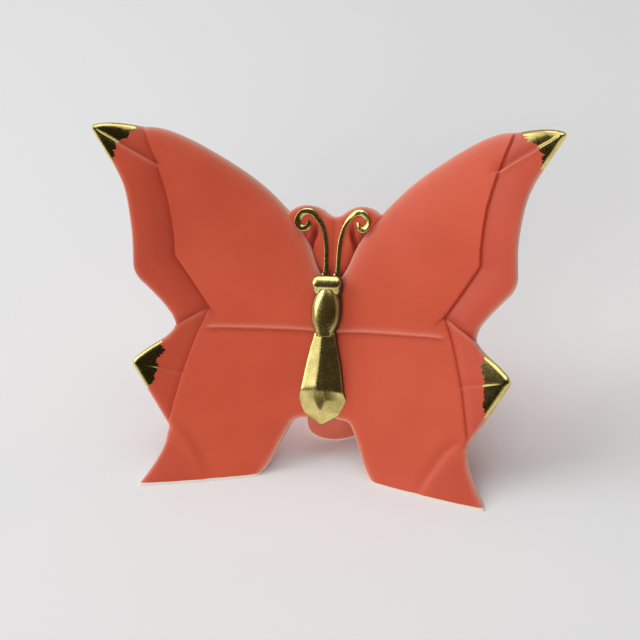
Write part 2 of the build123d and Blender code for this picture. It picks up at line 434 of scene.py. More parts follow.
@dataclass
class PlateMesh:
    """Grows the mesh of a plate with rolled rims over a flat outline."""

    stretches: tuple[Stretch, ...]
    folds: tuple[Fold, ...]
    step: float = 0.45
    grid: float = 0.85
    grid_gap_share: float = 0.5
    fold_gap: float = 0.16
    probe: float = 0.05
    ring_turns: tuple[float, ...] = (15.0, 30.0, 45.0, 60.0, 75.0)
    ring_slack_share: float = 0.93
    crisp_fade: float = 0.42
    broad_fade: float = 1.7
    broad_share: float = 0.25

    def __post_init__(self) -> None:
        """Trace the outline and sort its runs by rim."""
        self.loop, self.owners = self.trace()
        self.rims = {stretch.rim for stretch in self.stretches if stretch.rim}

    def trace(self) -> tuple[np.ndarray, list[Stretch]]:
        """Sample the outline with its rounded corners.

        Returns:
            The closed loop of points, and for each point the stretch of the edge that leaves it.
        """
        runs = [smooth_through(LEAN.flat(stretch.points), self.step) for stretch in self.stretches]
        points, owners = [], []
        for i, stretch in enumerate(self.stretches):
            run = runs[i]
            length = chord_lengths(run)
            keep = (length >= self.stretches[i - 1].corner) & (length <= length[-1] - stretch.corner)
            run = run[keep]
            points.extend(run)
            owners.extend([stretch] * len(run))
            if stretch.corner:
                after = runs[(i + 1) % len(runs)]
                start, corner = run[-1], runs[i][-1]
                end = after[chord_lengths(after) >= stretch.corner][0]
                count = max(3, math.ceil(2 * stretch.corner / self.step))
                for share in np.arange(1, count) / count:
                    points.append(start * (1 - share)**2 + 2 * corner * share * (1 - share) + end * share**2)
                    owners.append(stretch)
        loop, kept = [], []
        for point, owner in zip(points, owners):
            if not loop or np.linalg.norm(point - loop[-1]) > self.step / 5:
                loop.append(point)
                kept.append(owner)
        if np.linalg.norm(loop[0] - loop[-1]) < self.step / 5:
            loop.pop()
            kept.pop()
        return np.array(loop), kept

    def rim_line(self, rim: RimRoll | None) -> list[np.ndarray]:
        """Return the runs of the outline that have a rim, each as a line."""
        runs, current = [], []
        count = len(self.loop)
        for i in range(count):
            owner = self.owners[i]
            matches = owner.rim is not None if rim is None else owner.rim == rim
            if matches:
                current.append(self.loop[i])
                if i == count - 1:
                    runs.append(np.array(current + [self.loop[0]]))
            elif current:
                runs.append(np.array(current + [self.loop[i]]))
                current = []
        return runs

    def rim_distance(self, places: np.ndarray, rim: RimRoll | None = None) -> np.ndarray:
        """Return the distance from places to the free rim, or to the part with one rim roll."""
        lines = self.rim_line(rim)
        if not lines:
            return np.full(len(places), FAR)
        return np.min([nearest_on(places, line).distance for line in lines], axis=0)

    def paleness(self, places: np.ndarray) -> np.ndarray:
        """Return how pale the glaze is painted towards the rims, crisp at each rim and soft along the broad
        ones: thinner glaze and a painted highlight.
        """
        crisp = np.exp(-self.rim_distance(places) / self.crisp_fade)
        wide = [rim for rim in self.rims if rim.broad]
        broad = [np.exp(-self.rim_distance(places, rim) / self.broad_fade) for rim in wide]
        return np.clip(crisp + self.broad_share * np.max([np.zeros(len(places)), *broad], axis=0), 0, 1)

    def roll(self, places: np.ndarray) -> np.ndarray:
        """Return how far the rolled rims sink the front face."""
        return np.max([rim.drop(self.rim_distance(places, rim)) for rim in self.rims], axis=0)

    def flat_points(self) -> np.ndarray:
        """Return outline, ring, fold and grid points of the flat plate, the outline first."""
        closed = np.vstack([self.loop, self.loop[:1]])
        middle = (closed[:-1] + closed[1:]) / 2
        run = np.roll(self.loop, -1, axis=0) - np.roll(self.loop, 1, axis=0)
        run /= np.linalg.norm(run, axis=1)[:, None]
        inward = np.stack([-run[:, 1], run[:, 0]], axis=1)
        if not inside_loop(middle[:1] + inward[:1] * self.probe, self.loop)[0]:
            inward = -inward
        cloud = [self.loop]
        width = np.array([owner.rim.width if owner.rim else 0.0 for owner in self.owners])
        for turn in self.ring_turns:
            depth = width * (1 - math.sin(math.radians(turn)))
            ring = (self.loop + inward * depth[:, None])[width > 0]
            true = nearest_on(ring, closed).distance
            near = true > self.ring_slack_share * depth[width > 0]
            cloud.append(ring[near & inside_loop(ring, self.loop)])
        for fold in self.folds:
            for row in fold.rows(self.step):
                cloud.append(self.clear(row, cloud, self.fold_gap, closed))
        low, high = self.loop.min(0), self.loop.max(0)
        across = np.arange(low[0], high[0], self.grid)
        level = np.arange(low[1], high[1], self.grid * math.sqrt(3) / 2)
        x, y = np.meshgrid(across, level)
        x[1::2] += self.grid / 2
        field_points = np.stack([x.ravel(), y.ravel()], axis=1)
        cloud.append(self.clear(field_points, cloud, self.grid_gap_share * self.grid, closed))
        return np.vstack(cloud)

    def clear(
        self, points: np.ndarray, cloud: list[np.ndarray], gap: float, closed: np.ndarray,
    ) -> np.ndarray:
        """Keep points inside the outline that stand clear of those already placed.

        Args:
            points: New points.
            cloud: Points already placed.
            gap: Least distance to them.
            closed: The closed outline.

        Returns:
            The points that are kept.
        """
        points = points[inside_loop(points, self.loop)]
        points = points[nearest_on(points, closed).distance > gap] if len(points) else points
        placed = np.vstack(cloud)
        tree = KDTree(len(placed))
        for i, point in enumerate(placed):
            tree.insert((*point, 0.0), i)
        tree.balance()
        return np.array([p for p in points if tree.find((*p, 0.0))[2] > gap]).reshape(-1, 2)

    def triangles(self) -> tuple[np.ndarray, np.ndarray]:
        """Return the flat triangulation of the plate: points and triangles turned to the viewer."""
        points = self.flat_points()
        count = len(self.loop)
        edges = [(i, (i + 1) % count) for i in range(count)]
        found = delaunay_2d_cdt([Vector(p) for p in points], edges, [], 1, 1e-6)
        flat = np.array([tuple(p) for p in found[0]])
        faces = np.array([tuple(f) for f in found[2]])
        a, b, c = flat[faces[:, 0]], flat[faces[:, 1]], flat[faces[:, 2]]
        area = (b[:, 0] - a[:, 0]) * (c[:, 1] - a[:, 1]) - (b[:, 1] - a[:, 1]) * (c[:, 0] - a[:, 0])
        faces[area < 0] = faces[area < 0][:, ::-1]
        return flat, faces


def rim_edges(faces: np.ndarray) -> list[tuple[int, int]]:
    """Return the edges that only one triangle uses, in that triangle's direction."""
    edges = {}
    for a, b, c in faces:
        for edge in ((a, b), (b, c), (c, a)):
            edges[edge] = True
    return [edge for edge in edges if edge[::-1] not in edges]


def plate_shell(
    flat: np.ndarray, faces: np.ndarray, front: np.ndarray, back: np.ndarray,
) -> tuple[np.ndarray, list[tuple[int, ...]]]:
    """Close the front and back of a plate into one shell.

    Args:
        flat: Flat places of the plate.
        faces: Triangles over them.
        front: Height of the front at each place.
        back: Height of the back at each place.

    Returns:
        Vertices in metres, those of the front first, and the faces.
    """
    places = np.vstack([LEAN.world(flat[:, 0], flat[:, 1], height) for height in (front, back)])
    count = len(flat)
    shell = [tuple(f) for f in faces] + [tuple(f[::-1] + count) for f in faces]
    shell += [(b, a, a + count, b + count) for a, b in rim_edges(faces)]
    return places, shell


def loft_faces(rows: int, sides: int, flipped: bool = False) -> list[tuple[int, ...]]:
    """Join rings into a skin that is closed at both ends.

    Args:
        rows: How many rings there are.
        sides: Points of each ring.
        flipped: Whether the faces look the other way.

    Returns:
        Vertex numbers of each face.
    """
    faces = []
    for row in range(rows - 1):
        for i in range(sides):
            a, b = row * sides + i, row * sides + (i + 1) % sides
            faces.append((a, b, b + sides, a + sides))
    faces.append(tuple(range(sides))[::-1])
    faces.append(tuple((rows - 1) * sides + i for i in range(sides)))
    return [face[::-1] for face in faces] if flipped else faces


def new_piece(
    name: str, places: np.ndarray, faces: Sequence, finish: bpy.types.Material,
) -> bpy.types.Object:
    """Make a mesh object at the origin.

    Args:
        name: Name of the piece.
        places: Vertices in metres of the shared frame.
        faces: Vertex numbers of each face.
        finish: Material of the piece.

    Returns:
        The linked object.
    """
    mesh = bpy.data.meshes.new(name)
    mesh.from_pydata([tuple(p) for p in places], [], [tuple(int(i) for i in f) for f in faces])
    mesh.materials.append(finish)
    piece = bpy.data.objects.new(name, mesh)
    bpy.context.scene.collection.objects.link(piece)
    return piece


def set_values(piece: bpy.types.Object, name: str, values: np.ndarray) -> None:
    """Store one number for each vertex under a name that the finishes read."""
    attribute = piece.data.attributes.new(name, "FLOAT", "POINT")
    attribute.data.foreach_set("value", np.asarray(values, np.float32))


def shade(piece: bpy.types.Object, sharp: float = 55.0) -> None:
    """Shade a piece smooth, with edges sharper than an angle in degrees kept crisp."""
    piece.data.polygons.foreach_set("use_smooth", [True] * len(piece.data.polygons))
    piece.data.set_sharp_from_angle(angle=math.radians(sharp))
    piece.data.update()


def set_turned_away_shade(piece: bpy.types.Object, turn: float = SHADE_TURN) -> None:
    """Store where a gilded piece turns down towards its seat, for the painted shade round it.

    Args:
        piece: The gilded piece.
        turn: How far a face still looks to the viewer, as a cosine, where the painted shade starts.
    """
    normals = np.array([v.normal for v in piece.data.vertices])
    nought = np.zeros(1)
    ahead = LEAN.world(nought, nought, nought + 1) - LEAN.world(nought, nought, nought)
    facing = normals @ (ahead[0] / MM)
    # The stored 'seat' value is painted shade: it is 1 where the face turns away from the front
    set_values(piece, "seat", np.clip((turn - facing) / SHADE_SOFTNESS, 0, 1))


def enlist(piece: bpy.types.Object, slot: Slot, *nodes: str) -> bpy.types.Object:
    """Tie a finished piece to the body and hide the solids that it stands for."""
    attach(piece, BODY)
    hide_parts(*nodes)
    LOG.info("%s: %d faces, stands for %s", piece.name, len(piece.data.polygons), ", ".join(nodes))
    return piece


def baked(piece: bpy.types.Object) -> None:
    """Turn a piece's live modifiers into its plain mesh."""
    graph = bpy.context.evaluated_depsgraph_get()
    mesh = bpy.data.meshes.new_from_object(piece.evaluated_get(graph))
    piece.modifiers.clear()
    old = piece.data
    piece.data = mesh
    mesh.name = piece.name
    bpy.data.meshes.remove(old)


def melted(piece: bpy.types.Object, grain: float, rounds: int) -> None:
    """Melt a piece's overlapping forms into one skin and soften its edges.

    Args:
        piece: The piece.
        grain: Size of the skin's facets, in millimetres.
        rounds: How often the skin is relaxed.
    """
    melt = piece.modifiers.new("melt", "REMESH")
    melt.mode, melt.voxel_size = "VOXEL", grain * MM
    relax = piece.modifiers.new("relax", "SMOOTH")
    relax.factor, relax.iterations = RELAX, rounds
    baked(piece)


@dataclass
class Wing:
    """One porcelain wing: a folded plate with rolled rims and a gilded tip."""

    side: Side
    node: str
    stretches: tuple[Stretch, ...]
    folds: tuple[Fold, ...]
    gilding: Gilding
    thickness: float = 4.6
    back_roll: RimRoll = RimRoll(1.8, 1.5)
    pale_ridge_height: float = 0.4
    pale_ridge_share: float = 0.25
    # Creases are painted darker (pooled glaze and painted shade), and the outer panel is painted darker
    # (painted shade)
    crease_depth: float = 0.6
    crease_share: float = 0.42
    outer_shade_reach: float = 3.0
    outer_shade_share: float = 0.2
    stands: bool = False

    def build(self, finish: bpy.types.Material) -> bpy.types.Object:
        """Grow the wing's shell and store what its finish reads.

        Args:
            finish: The glazed material.

        Returns:
            The finished piece.
        """
        plate = PlateMesh(self.stretches, self.folds)
        flat, faces = plate.triangles()
        pressed = SHEET.pressed(flat)
        plain = SHEET.plain(flat)
        rim = plate.rim_distance(flat)
        front = plain + pressed - plate.roll(flat)
        back = plain - self.thickness + self.back_roll.drop(rim)
        places, shell = plate_shell(flat * (self.side.value, 1), faces, front, back)
        if self.side is Side.LEFT:
            shell = [f[::-1] for f in shell]
        piece = new_piece(f"{self.side.word}_{self.node}_shell", places, shell, finish)
        # Rims and proud ridges are painted paler: thinner glaze and a painted highlight
        proud = sum(fold.offset(flat) for fold in self.folds if fold.worn)
        pale = plate.paleness(flat)
        thin = np.clip(pale + np.clip(proud / self.pale_ridge_height, 0, 1)**2 * self.pale_ridge_share, 0, 1)
        # Painted shade: the outer panel is darker the further it lies beyond the crease; creases are darker
        # as pooled glaze and painted shade
        outer = np.clip(SHEET.beyond(flat) / self.outer_shade_reach, 0, 1)
        creased = np.clip(-pressed / self.crease_depth, 0, 1)
        pool = self.crease_share * creased + self.outer_shade_share * outer
        gold = self.gilding.depth(flat)
        set_values(piece, "gilding", np.concatenate([gold, gold]))
        set_values(piece, "thin_glaze", np.concatenate([thin, pale]))
        set_values(piece, "pooled_glaze_and_shade", np.concatenate([pool, np.zeros(len(flat))]))
        if self.stands:
            self.cut_foot(piece)
        shade(piece)
        return enlist(piece, Slot.CORAL, f"{self.side.word}_{self.node}")

    def cut_foot(self, piece: bpy.types.Object) -> None:
        """Cut the wing flat where it stands and close the cut."""
        form = bmesh.new()
        form.from_mesh(piece.data)
        whole = form.verts[:] + form.edges[:] + form.faces[:]
        cut = bmesh.ops.bisect_plane(
            form, geom=whole, dist=1e-7, plane_co=(0, 0, 0), plane_no=(0, 0, -1), clear_outer=True,
        )
        edges = [part for part in cut["geom_cut"] if isinstance(part, bmesh.types.BMEdge)]
        bmesh.ops.triangle_fill(form, use_beauty=True, edges=edges, normal=(0, 0, -1))
        form.to_mesh(piece.data)
        form.free()


TOP_ROLL = RimRoll(2.6, 2.2, sag=0.45, broad=True)
CREST_ROLL = RimRoll(2.4, 1.1, sag=0.3, reach=6.0, broad=True)
OUTER_ROLL = RimRoll(1.5, 1.7, sag=1.0, reach=7.5)
HIND_ROLL = RimRoll(2.2, 1.9, sag=0.35)
TAIL_ROLL = RimRoll(1.1, 1.0, sag=0.25)

FORE_STRETCHES = (
    Stretch(((0.0, 0.510), (0.0, 0.366)), None),
    Stretch(((0.0, 0.366), (0.548, 0.362)), None),
    Stretch(((0.548, 0.362), (0.512, 0.432)), None),
    Stretch(FLAP_EDGE.points, None),
    Stretch(
        ((0.649, 0.362), (0.658, 0.390), (0.682, 0.420), (0.744, 0.472), (0.824, 0.531)),
        OUTER_ROLL, corner=3.4,
    ),
    Stretch(
        (
            (0.824, 0.531), (0.8225, 0.590), (0.823, 0.657), (0.834, 0.727), (0.865, 0.8235), (0.927, 0.908),
            (1.015, 1.009),
        ),
        OUTER_ROLL, corner=2.2,
    ),
    Stretch(((1.015, 1.009), (0.953, 1.0195), (0.905, 1.021), (0.793, 1.012)), OUTER_ROLL, corner=0.8),
    Stretch(
        (
            (0.793, 1.012), (0.750, 1.0125), (0.680, 1.0005), (0.552, 0.956), (0.440, 0.906), (0.300, 0.829),
            (0.203, 0.756),
        ),
        TOP_ROLL,
    ),
    Stretch(((0.203, 0.756), (0.136, 0.690), (0.095, 0.633), (0.057, 0.564), (0.0, 0.510)), CREST_ROLL),
)
HIND_STRETCHES = (
    Stretch(((0.0, 0.094), (0.0, 0.366)), None),
    Stretch(((0.0, 0.366), (0.548, 0.362)), None),
    Stretch(((0.548, 0.362), (0.512, 0.432)), None),
    Stretch(FLAP_EDGE.points, None),
    Stretch(((0.649, 0.362), (0.684, 0.330), (0.735, 0.300), (0.820, 0.243)), HIND_ROLL, corner=2.1),
    Stretch(((0.820, 0.243), (0.734, 0.140), (0.645, 0.038)), HIND_ROLL, corner=0.8),
    Stretch(((0.645, 0.038), (0.649, -0.016), (0.667, -0.056), (0.768, -0.187)), TAIL_ROLL),
    Stretch(((0.768, -0.187), (0.305, -0.156)), None),
    Stretch(
        ((0.305, -0.156), (0.240, -0.101), (0.209, -0.064), (0.170, 0.005), (0.122, 0.080)),
        TAIL_ROLL, corner=1.4,
    ),
    Stretch(((0.122, 0.080), (0.0, 0.094)), TAIL_ROLL),
)
FORE_GILDINGS = {
    Side.LEFT: Gilding((
        (0.890, 0.780), (0.891, 0.871), (0.901, 0.928), (0.882, 0.954), (0.838, 0.985), (0.820, 1.004),
        (0.802, 1.060),
    )),
    Side.RIGHT: Gilding((
        (0.911, 0.813), (0.912, 0.902), (0.917, 0.943), (0.898, 0.960), (0.850, 0.990), (0.826, 1.005),
        (0.808, 1.060),
    )),
}
HIND_GILDINGS = {
    Side.LEFT: Gilding((
        (0.873, 0.105), (0.735, 0.157), (0.712, 0.190), (0.701, 0.225), (0.701, 0.250), (0.677, 0.286),
        (0.697, 0.308), (0.700, 0.400),
    )),
    Side.RIGHT: Gilding((
        (0.847, 0.075), (0.709, 0.127), (0.700, 0.180), (0.701, 0.225), (0.701, 0.250), (0.677, 0.286),
        (0.697, 0.308), (0.700, 0.400),
    )),
}


def make_wings(finish: bpy.types.Material) -> None:
    """Build the four wings."""
    for side in Side:
        fore_folds = (FORE_CREASE, FLAP_EDGE, TIP_LAP, WAIST_RIDGE)
        Wing(side, "forewing", FORE_STRETCHES, fore_folds, FORE_GILDINGS[side]).build(finish)
        hind_folds = (HIND_CREASE, FLAP_EDGE, HIND_LAP, WAIST_RIDGE, TAIL_FOLD)
        Wing(side, "hindwing", HIND_STRETCHES, hind_folds, HIND_GILDINGS[side], stands=True).build(finish)


@dataclass
class Crest:
    """Two-lobed plate between the forewings, with scroll grooves beside the antennae."""

    thickness: float = 5.0
    rim: RimRoll = RimRoll(1.3, 1.2, sag=0.25, reach=3.0)
    gutter: RimRoll = RimRoll(2.8, 2.8, sag=0.5, reach=4.2)
    lip: RimRoll = RimRoll(1.0, 0.8)
    back_roll: RimRoll = RimRoll(1.2, 1.0)
    base: float = 6.9
    valley_slope: float = 0.06
    pad_from_share: float = 0.655
    pad_run_share: float = 0.04
    pad_inner: float = 5.4
    pad_width: float = 4.0
    pad_slope: float = 0.2
    rim_fade: float = 0.4
    # Painted shade along the gutters; the cut grooves are darker as pooled glaze and painted shade
    gutter_shade_width: float = 2.5
    pool_depth: float = 0.7
    lobes: tuple[Share, ...] = (
        (0.0, 0.744), (0.020, 0.747), (0.060, 0.766), (0.114, 0.779), (0.160, 0.773), (0.206, 0.750),
    )
    upper_side: tuple[Share, ...] = ((0.206, 0.750), (0.150, 0.692))
    lower_side: tuple[Share, ...] = ((0.150, 0.692), (0.110, 0.630), (0.070, 0.560), (0.0, 0.500))
    scroll: tuple[Share, ...] = (
        (0.098, 0.628), (0.093, 0.652), (0.082, 0.676), (0.078, 0.704), (0.086, 0.728),
    )
    scroll_cut: tuple[Station, ...] = (
        (-1.7, 0.0), (-0.8, -0.6), (-0.2, -1.5), (0.15, -1.4), (0.45, -0.6), (1.0, 0.0),
    )
    middle_cut: tuple[Station, ...] = ((-1.9, 0.0), (-0.8, -0.12), (0.0, -0.26), (0.8, -0.12), (1.9, 0.0))

    @classmethod
    def face(cls, across: np.ndarray, level: np.ndarray) -> np.ndarray:
        """Return the front of the crest: a shallow valley, with a pad that comes forward under each curl."""
        away = np.abs(across)
        pad = np.clip((level / LEAN.rise - cls.pad_from_share) / cls.pad_run_share, 0, 1)
        rise = cls.pad_slope * pad * np.clip(away - cls.pad_inner, 0, cls.pad_width)
        return cls.base + cls.valley_slope * away + rise

    def build(self, finish: bpy.types.Material) -> bpy.types.Object:
        """Grow the crest with its grooves."""
        def flipped(points: tuple[Share, ...]) -> tuple[Share, ...]:
            """Return the points of the left half, in reverse."""
            return tuple((-x, y) for x, y in reversed(points))

        stretches = (
            Stretch(self.lobes, self.rim),
            Stretch(self.upper_side, self.lip),
            Stretch(self.lower_side, self.gutter),
            Stretch(flipped(self.lower_side), self.gutter),
            Stretch(flipped(self.upper_side), self.lip),
            Stretch(flipped(self.lobes), self.rim),
        )
        folds = (
            Fold(self.scroll, self.scroll_cut, fade_in=1.0, fade_out=3.5, curved=True),
            Fold(flipped(self.scroll), self.scroll_cut, fade_in=3.5, fade_out=1.0, curved=True),
            Fold(((0.0, 0.748), (0.0, 0.545)), self.middle_cut, fade_in=1.0, fade_out=3.0),
        )
        plate = PlateMesh(stretches, folds, step=0.35, grid=0.6)
        flat, faces = plate.triangles()
        pressed = sum(fold.offset(flat) for fold in folds)
        rim = plate.rim_distance(flat)
        face = self.face(flat[:, 0], flat[:, 1])
        front = face + pressed - plate.roll(flat)
        back = face - self.thickness + self.back_roll.drop(rim)
        places, shell = plate_shell(flat, faces, front, back)
        piece = new_piece("crest_plate", places, shell, finish)
        set_values(piece, "gilding", np.full(len(places), NO_GILDING))
        # The lobe rims are painted paler: thinner glaze and a painted highlight
        thin = np.exp(-plate.rim_distance(flat, self.rim) / self.rim_fade)
        set_values(piece, "thin_glaze", np.tile(thin, 2))
        # Painted shade along the gutters beside the wings; the cut grooves are darker as pooled glaze and
        # painted shade
        gutter_shade = np.exp(-(plate.rim_distance(flat, self.gutter) / self.gutter_shade_width)**2)
        pool = np.clip(gutter_shade - np.minimum(pressed, 0) / self.pool_depth, 0, 1)
        set_values(piece, "pooled_glaze_and_shade", np.concatenate([pool, np.zeros(len(flat))]))
        shade(piece)
        return enlist(piece, Slot.CORAL, "crest")


@dataclass
class Column:
    """Hollow cast core behind the wings, standing on its round foot."""

    foot_radius: float = 9.7
    foot_centre: float = 6.4
    height: float = 57.0
    back: float = 17.0
    wall: float = 3.4
    sink: float = 2.2
    foot_round: float = 0.35
    least_radius: float = 0.4
    tuck_from_share: float = 0.098
    hollow_share: float = 0.86
    foot_shares: tuple[float, ...] = (0.0, 0.004, 0.016)
    wall_from_share: float = 0.03
    wall_rows: int = 40
    glaze_thinness: float = 0.12
    foot_thinness: float = 0.3
    foot_fade: float = 0.7
    sides: int = 96
    levels: tuple[tuple[float, float, float], ...] = (
        (0.0, 0.0, 1.0), (0.2, 0.03, 0.98), (0.6, 0.48, 0.92), (0.88, 0.87, 0.74), (1.0, 1.06, 0.42),
    )

    def rings(self, inset: float, shares: np.ndarray) -> list[np.ndarray]:
        """Return rings of the wall drawn in by an inset, at shares of the height."""
        line = CubicLine([row[0] for row in self.levels], [row[1:] for row in self.levels])
        turn = np.linspace(0, 2 * math.pi, self.sides, endpoint=False)
        rings = []
        for share, (back, wide) in zip(shares, line.at(shares)):
            radius = max(wide * self.foot_radius - inset, self.least_radius)
            middle = self.foot_centre + back * self.back
            level = np.full(self.sides, share * self.height)
            ring = [radius * np.cos(turn), middle + radius * np.sin(turn), level]
            rings.append(np.stack(ring, axis=1) * MM)
        return rings

    def tucked(self, ring: np.ndarray, depth: float) -> np.ndarray:
        """Keep a ring behind the wings' front face by a depth."""
        across, level, front = LEAN.local(ring)
        limit = SHEET.plain(np.stack([np.abs(across), level], axis=1)) - depth
        reach = level > self.tuck_from_share * LEAN.rise
        return LEAN.world(across, level, np.where(reach, np.minimum(front, limit), front))

    def build(self, finish: bpy.types.Material) -> bpy.types.Object:
        """Loft the outer and inner walls and close them at foot and top."""
        walls = np.linspace(self.wall_from_share, 1.0, self.wall_rows)
        shares = np.concatenate([self.foot_shares, walls])
        outer = [self.tucked(ring, self.sink) for ring in self.rings(0.0, shares)]
        for ring, share in zip(outer[:2], (1.0, 0.3)):
            middle = ring.mean(0)
            ring[:, :2] += (middle - ring)[:, :2] * share * self.foot_round / self.foot_radius
        hollow = self.rings(self.wall, shares[shares < self.hollow_share])
        inner = [self.tucked(ring, self.sink + self.wall) for ring in hollow]
        places = np.vstack([*inner[::-1], *outer])
        faces = loft_faces(len(inner) + len(outer), self.sides)
        piece = new_piece("column_core", places, faces, finish)
        count = len(places)
        set_values(piece, "gilding", np.full(count, NO_GILDING))
        low = np.exp(-places[:, 2] / (self.foot_fade * MM))
        set_values(piece, "thin_glaze", self.glaze_thinness + self.foot_thinness * low)
        set_values(piece, "pooled_glaze_and_shade", np.zeros(count))
        shade(piece)
        return enlist(piece, Slot.CORAL, "column")


@dataclass
class Abdomen:
    """Gilded abdomen cut in broad facets, with a rhomb over its pointed end."""

    halvings: int = 5
    softening: int = 90
    seat: float = 2.5
    seat_width_share: float = 0.94
    sole_rise_share: float = 0.004
    sides: tuple[tuple[float, float, float], ...] = (
        (3.2, 0.366, 3.25), (4.1, 0.318, 3.2), (5.5, 0.262, 3.1), (6.9, 0.174, 2.9), (7.8, 0.148, 1.3),
        (6.1, 0.100, 0.4),
    )
    shoulders: tuple[tuple[float, float, float], ...] = (
        (0.4, 0.366, 4.2), (0.6, 0.262, 4.75), (1.0, 0.187, 5.05),
    )
    rhomb: tuple[tuple[float, float, float], ...] = (
        (0.0, 0.178, 4.8), (1.9, 0.144, 3.72), (0.0, 0.108, 2.95),
    )
    tip: tuple[float, float, float] = (0.0, 0.062, 0.3)

    def build(self, finish: bpy.types.Material) -> bpy.types.Object:
        """Join the facets, soften their edges and seat the form in the wings."""
        form = bmesh.new()

        def corner(point: tuple[float, float, float], sign: int = 1) -> bmesh.types.BMVert:
            """Add a corner, its height measured from the wing's root."""
            flat = np.array([[0.0, point[1] * LEAN.rise]])
            front = SHEET.plain(flat) + point[2]
            return form.verts.new(LEAN.world(np.array([sign * point[0]]), flat[:, 1], front)[0])

        side = {s: [corner(p, s) for p in self.sides] for s in (1, -1)}
        under = [(p[0] * self.seat_width_share, p[1], -self.seat) for p in self.sides]
        base = {s: [corner(p, s) for p in under] for s in (1, -1)}
        shoulder = {s: [corner(p, s) for p in self.shoulders] for s in (1, -1)}
        top, bottom = corner(self.rhomb[0]), corner(self.rhomb[2])
        flank = {s: corner(self.rhomb[1], s) for s in (1, -1)}
        tip = corner(self.tip)
        sole = corner((0.0, self.tip[1] + self.sole_rise_share, -self.seat))
        for s in (1, -1):
            edge, deep, upper = side[s], base[s], shoulder[s]
            skin = [
                (upper[0], upper[1], edge[2], edge[1], edge[0]),
                (upper[1], upper[2], edge[3], edge[2]),
                (upper[2], flank[s], edge[4], edge[3]),
                (flank[s], bottom, edge[5], edge[4]),
                (bottom, tip, edge[5]),
                (upper[2], top, flank[s]),
                (deep[5], edge[5], tip, sole),
            ]
            skin += [(edge[i], edge[i + 1], deep[i + 1], deep[i]) for i in range(5)]
            for face in skin:
                form.faces.new(face if s == 1 else face[::-1])
        right, left = shoulder[1], shoulder[-1]
        form.faces.new((left[0], left[1], right[1], right[0]))
        form.faces.new((left[1], left[2], top, right[2], right[1]))
        form.faces.new((top, flank[-1], bottom, flank[1]))
        form.faces.new((left[0], right[0], side[1][0], base[1][0], base[-1][0], side[-1][0]))
        form.faces.new([*base[1], sole, *base[-1][::-1]])
        bmesh.ops.recalc_face_normals(form, faces=form.faces[:])
        piece = new_piece("abdomen_relief", np.zeros((0, 3)), [], finish)
        form.to_mesh(piece.data)
        form.free()
        finer = piece.modifiers.new("finer", "SUBSURF")
        finer.subdivision_type = "SIMPLE"
        finer.levels = finer.render_levels = self.halvings
        relax = piece.modifiers.new("relax", "SMOOTH")
        relax.factor, relax.iterations = RELAX, self.softening
        baked(piece)
        set_turned_away_shade(piece)
        shade(piece, SOFT_SHARP)
        return enlist(piece, Slot.GOLD, "abdomen")


@dataclass
class Thorax:
    """Gilded thorax, a rounded vase between waist and neck."""

    lift: float = 2.2
    shade_turn: float = 0.81
    sharp: float = 50.0
    sides: int = 72
    rings: int = 48
    rows: tuple[tuple[float, float, float], ...] = (
        (0.352, 2.8, 2.5), (0.366, 3.2, 2.6), (0.385, 4.0, 2.9), (0.412, 4.6, 3.25), (0.438, 4.7, 3.4),
        (0.466, 4.45, 3.4), (0.489, 3.7, 3.2), (0.510, 2.4, 2.8),
    )

    def build(self, finish: bpy.types.Material) -> bpy.types.Object:
        """Loft the oval rows and close both ends."""
        line = CubicLine([row[0] for row in self.rows], [row[1:] for row in self.rows])
        shares = np.linspace(self.rows[0][0], self.rows[-1][0], self.rings)
        turn = np.linspace(0, 2 * math.pi, self.sides, endpoint=False)
        places = []
        for share, (wide, high) in zip(shares, line.at(shares)):
            level = np.full(self.sides, share * LEAN.rise)
            middle = SHEET.plain(np.array([[0.0, level[0]]]))[0] + self.lift
            places.append(LEAN.world(wide * np.cos(turn), level, middle + high * np.sin(turn)))
        faces = loft_faces(self.rings, self.sides, flipped=True)
        piece = new_piece("thorax_relief", np.vstack(places), faces, finish)
        set_turned_away_shade(piece, self.shade_turn)
        shade(piece, self.sharp)
        return enlist(piece, Slot.GOLD, "thorax")


@dataclass(frozen=True)
class Blob:
    """One oval of a melted form: its place and half sizes, in millimetres but for the level share.

    Sink is its depth behind its middle, stretch draws it out into a bar, and shear brings its lower
    edge forward.
    """

    across: float
    level: float
    front: float
    wide: float
    tall: float
    deep: float
    stretch: float = 0.0
    sink: float = 2.0
    shear: float = 0.0


@dataclass
class Head:
    """Gilded head: a rounded bar with two lower lobes and a nub under each antenna."""

    grain: float = 0.14
    rounds: int = 16
    blobs: tuple[Blob, ...] = (
        Blob(0.0, 0.526, 12.5, 2.1, 2.25, 1.4, stretch=2.6, sink=5.0, shear=0.22),
        Blob(2.8, 0.509, 10.9, 1.9, 2.6, 2.8),
        Blob(1.85, 0.549, 9.8, 0.7, 1.2, 1.6),
    )

    def build(self, finish: bpy.types.Material) -> bpy.types.Object:
        """Melt overlapping ovals into one smooth form."""
        form = bmesh.new()
        for blob in self.blobs:
            for sign in (1, -1) if blob.across else (1,):
                oval = bmesh.ops.create_uvsphere(form, u_segments=48, v_segments=24, radius=1.0)["verts"]
                unit = np.array([v.co for v in oval])
                drawn = blob.stretch * np.sign(np.round(unit[:, 0], 3))
                across = sign * blob.across + blob.wide * unit[:, 0] + drawn
                level = blob.level * LEAN.rise + blob.tall * unit[:, 1]
                front = blob.front + np.where(unit[:, 2] > 0, blob.deep, blob.sink) * unit[:, 2]
                front -= blob.shear * blob.tall * unit[:, 1]
                for vert, place in zip(oval, LEAN.world(across, level, front)):
                    vert.co = place
        bmesh.ops.recalc_face_normals(form, faces=form.faces[:])
        piece = new_piece("head_relief", np.zeros((0, 3)), [], finish)
        form.to_mesh(piece.data)
        form.free()
        melted(piece, self.grain, self.rounds)
        set_turned_away_shade(piece)
        shade(piece, SOFT_SHARP)
        return enlist(piece, Slot.GOLD, "head")


